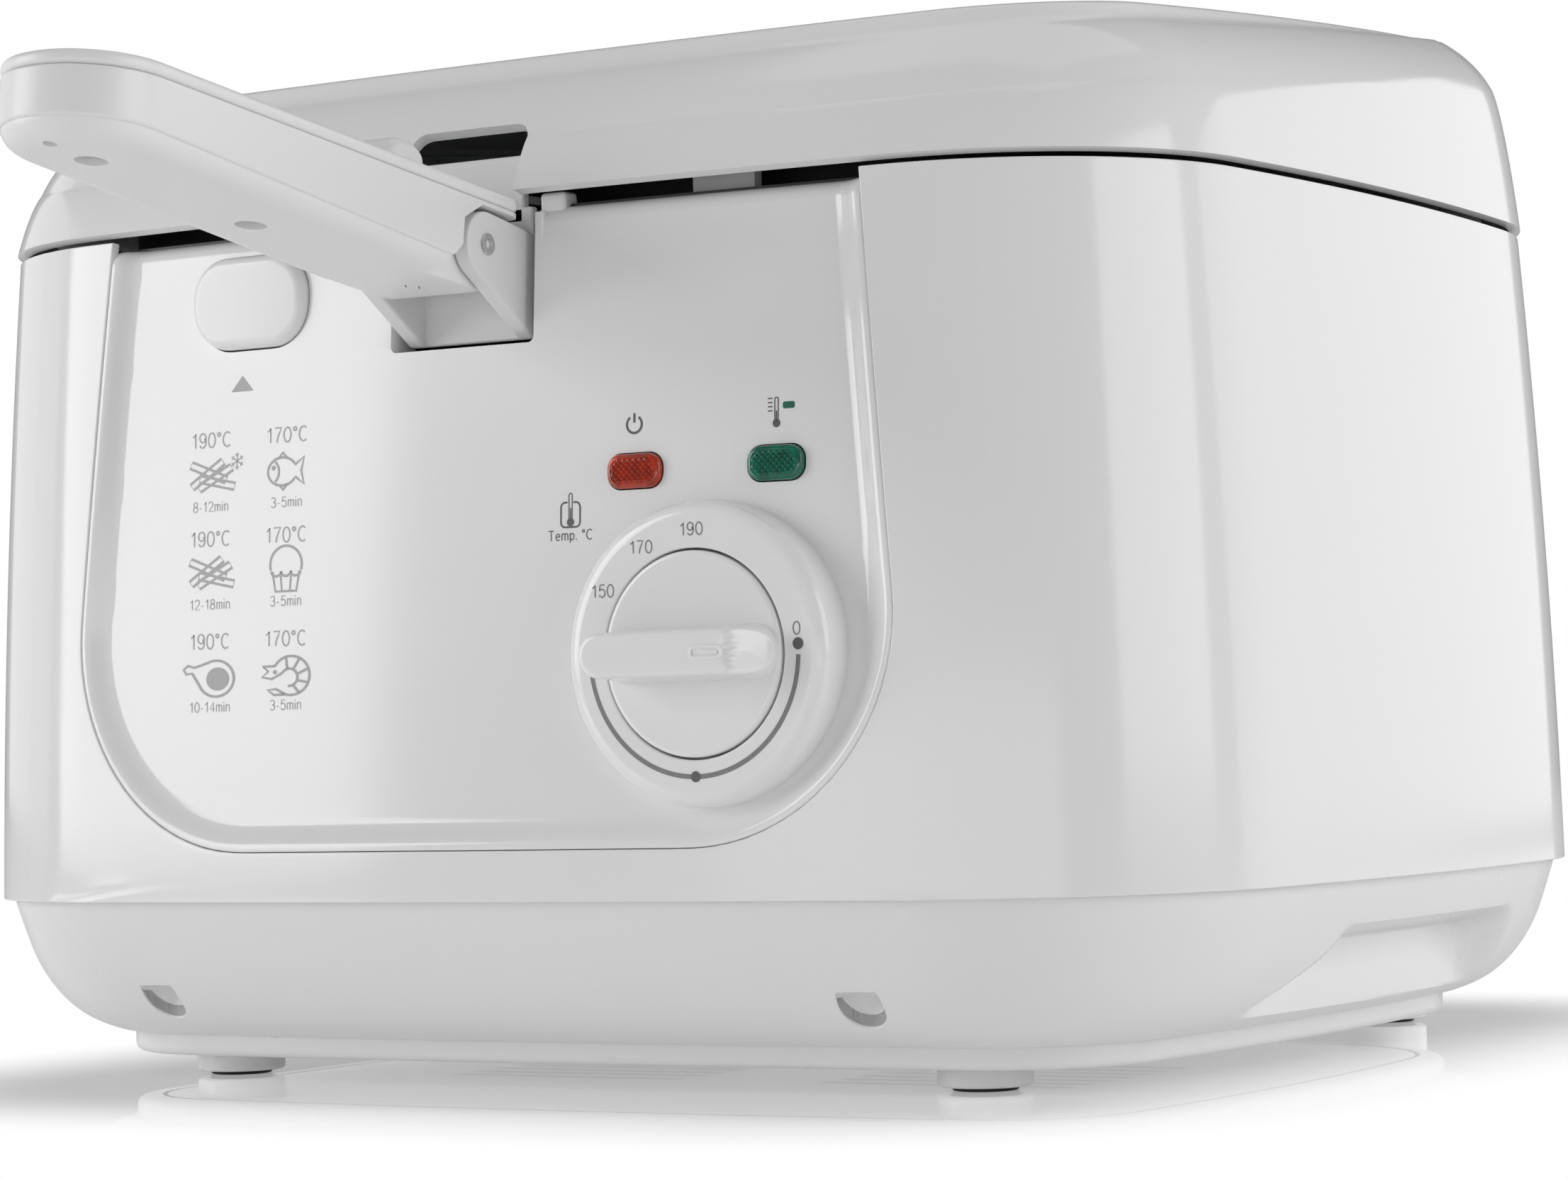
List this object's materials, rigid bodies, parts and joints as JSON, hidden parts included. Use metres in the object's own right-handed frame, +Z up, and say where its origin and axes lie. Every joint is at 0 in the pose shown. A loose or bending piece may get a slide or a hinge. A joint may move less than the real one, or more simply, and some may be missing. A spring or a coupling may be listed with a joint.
{
  "type": "deep fryer",
  "caption": "Countertop deep fryer with a hinged lid, folding basket handle, thermostat dial, pilot lamps and a lid release button.",
  "frame": {"origin": "on the table under the middle of the whole outline, handle included", "axes": "+X to the right seen from the front, the front faces -Y, +Z up"},
  "size_m": [0.35, 0.4557, 0.2563],
  "materials": {
    "white_gloss": "gloss",
    "white_satin": "satin",
    "light_grey": "fine grain",
    "black_plastic": "fine grain",
    "black_rubber": "matt",
    "stainless_steel": "brushed",
    "element_aluminium": "cast",
    "sensor_brass": "drawn",
    "clear_glass": "polished",
    "filter_fabric": "open fibre",
    "red_lens": "ribbed",
    "green_lens": "ribbed"
  },
  "bodies": {
    "fryer": {"base_casing": "white_satin", "housing_screws": "stainless_steel", "bottom_cover": "white_satin", "feet": "white_satin", "foot_pads": "black_rubber", "cord_gland": "black_plastic", "body_shell": "white_gloss", "front_panel": "white_gloss", "dial_ring": "white_gloss", "thermostat": "black_plastic", "power_lamp_lens": "red_lens", "ready_lamp_lens": "green_lens", "lamp_holders": "black_plastic", "spring_bracket": "black_plastic", "button_spring": "stainless_steel", "top_frame": "black_plastic", "oil_bowl": "stainless_steel", "heating_element": "element_aluminium", "element_strap": "stainless_steel", "thermal_cutout": "element_aluminium", "sensor_bulb": "sensor_brass", "capillary_tube": "sensor_brass", "heat_shield": "stainless_steel", "terminal_block": "black_plastic", "basket": "stainless_steel", "basket_bracket": "light_grey", "handle_pin": "stainless_steel", "hinge_pin": "stainless_steel"},
    "lid": {"lid_shell": "white_gloss", "lid_liner": "stainless_steel", "lid_seal": "black_rubber", "lid_hooks": "light_grey", "lid_window": "clear_glass", "window_seal": "black_rubber", "filter_pad": "filter_fabric", "liner_screws": "stainless_steel"},
    "filter_lift_cover": {"filter_cover": "white_gloss"},
    "handle": {"handle_body": "white_satin", "handle_cover": "white_satin", "handle_screws": "stainless_steel"},
    "lock_slide": {"handle_lock": "white_satin"},
    "knob": {"temperature_knob": "white_gloss", "thermostat_spindle": "stainless_steel"},
    "release_latch": {"release_button": "white_gloss", "latch_bar": "black_plastic"}
  },
  "joints": [
    {"name": "lid_hinge", "type": "hinge", "parent": "fryer", "child": "lid", "pos_m": [0, 0.22105, 0.207], "axis": [-1, 0, 0], "range_deg": [0, 85]},
    {"name": "filter_lift", "type": "slide", "parent": "lid", "child": "filter_lift_cover", "axis": [0, -0.0754, 0.9972], "range_m": [0, 0.04]},
    {"name": "handle_fold", "type": "hinge", "parent": "fryer", "child": "handle", "pos_m": [0, -0.09585, 0.1896], "axis": [1, 0, 0], "range_deg": [0, 94]},
    {"name": "lock_slide_back", "type": "slide", "parent": "handle", "child": "lock_slide", "axis": [0, -0.9917, 0.1288], "range_m": [0, 0.004], "stiffness_N_per_m": 300},
    {"name": "knob_turn", "type": "hinge", "parent": "fryer", "child": "knob", "pos_m": [0.0655, -0.09145, 0.0975], "axis": [0, 1, 0], "range_deg": [0, 270]},
    {"name": "release_press", "type": "slide", "parent": "fryer", "child": "release_latch", "axis": [0, 1, 0], "range_m": [0, 0.004], "stiffness_N_per_m": 600, "deforming": ["button_spring"]}
  ]
}
